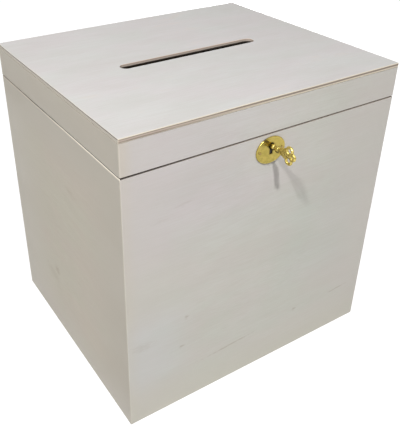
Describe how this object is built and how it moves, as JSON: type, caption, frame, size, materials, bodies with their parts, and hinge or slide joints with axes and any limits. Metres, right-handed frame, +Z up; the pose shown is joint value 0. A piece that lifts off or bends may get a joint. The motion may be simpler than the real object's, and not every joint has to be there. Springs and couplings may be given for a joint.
{
  "type": "lockable envelope box",
  "caption": "Plain pale-wood box for cards and envelopes, with a posting slot in its hinged lid and a small lock and key at the front.",
  "frame": {"origin": "centre of the box's flat underside", "axes": "+Z up, -Y towards the front with the lock and key, +X to the right as seen from the front; lid closed, bolt drawn back, key upright in the lock"},
  "size_m": [0.29, 0.2855, 0.3],
  "materials": {
    "pale_wood": "pale, smoothly sanded and limewashed, matt, with a faint horizontal grain",
    "pale_plywood": "pale plywood sheet, smoothly sanded and limewashed, matt, with tan plies on its edges",
    "brass": "polished, gold coloured",
    "lock_steel": "pressed steel with thin bright zinc plating"
  },
  "bodies": {
    "box": {"front_panel": "pale_wood", "back_panel": "pale_wood", "left_panel": "pale_wood", "right_panel": "pale_wood", "bottom_panel": "pale_plywood", "hinge_left_body_leaf": "brass", "hinge_left_pin": "brass", "hinge_left_body_screw_1": "brass", "hinge_left_body_screw_2": "brass", "hinge_right_body_leaf": "brass", "hinge_right_pin": "brass", "hinge_right_body_screw_1": "brass", "hinge_right_body_screw_2": "brass", "escutcheon": "brass", "escutcheon_pin_left": "brass", "escutcheon_pin_right": "brass", "lock_plate": "lock_steel", "lock_case": "lock_steel", "lock_spring": "lock_steel", "lock_screw_1": "brass", "lock_screw_2": "brass", "lock_screw_3": "brass", "lock_screw_4": "brass"},
    "lid": {"lid_front_rail": "pale_wood", "lid_back_rail": "pale_wood", "lid_left_rail": "pale_wood", "lid_right_rail": "pale_wood", "lid_top_panel": "pale_plywood", "hinge_left_lid_leaf": "brass", "hinge_left_lid_screw_1": "brass", "hinge_left_lid_screw_2": "brass", "hinge_right_lid_leaf": "brass", "hinge_right_lid_screw_1": "brass", "hinge_right_lid_screw_2": "brass", "strike_plate": "lock_steel", "strike_screw_left": "brass", "strike_screw_right": "brass"},
    "barrel": {"lock_barrel": "lock_steel"},
    "bolt": {"lock_bolt": "lock_steel"},
    "key": {"key": "brass"}
  },
  "joints": [
    {"name": "lid_hinge", "type": "hinge", "parent": "box", "child": "lid", "pos_m": [0, 0.1273, 0.2675], "axis": [-1, 0, 0], "range_deg": [0, 180]},
    {"name": "key_turn", "type": "hinge", "parent": "box", "child": "barrel", "pos_m": [-0.0025, -0.117, 0.2565], "axis": [0, 1, 0], "range_deg": [0, 360]},
    {"name": "bolt_slide", "type": "slide", "parent": "box", "child": "bolt", "axis": [1, 0, 0], "range_m": [0, 0.0045]},
    {"name": "key_pull", "type": "slide", "parent": "barrel", "child": "key", "axis": [0, -1, 0], "range_m": [0, 0.025]}
  ],
  "couplings": [
    {"joint": "bolt_slide", "follows": "key_turn", "m_per_rad": 0.000716}
  ]
}
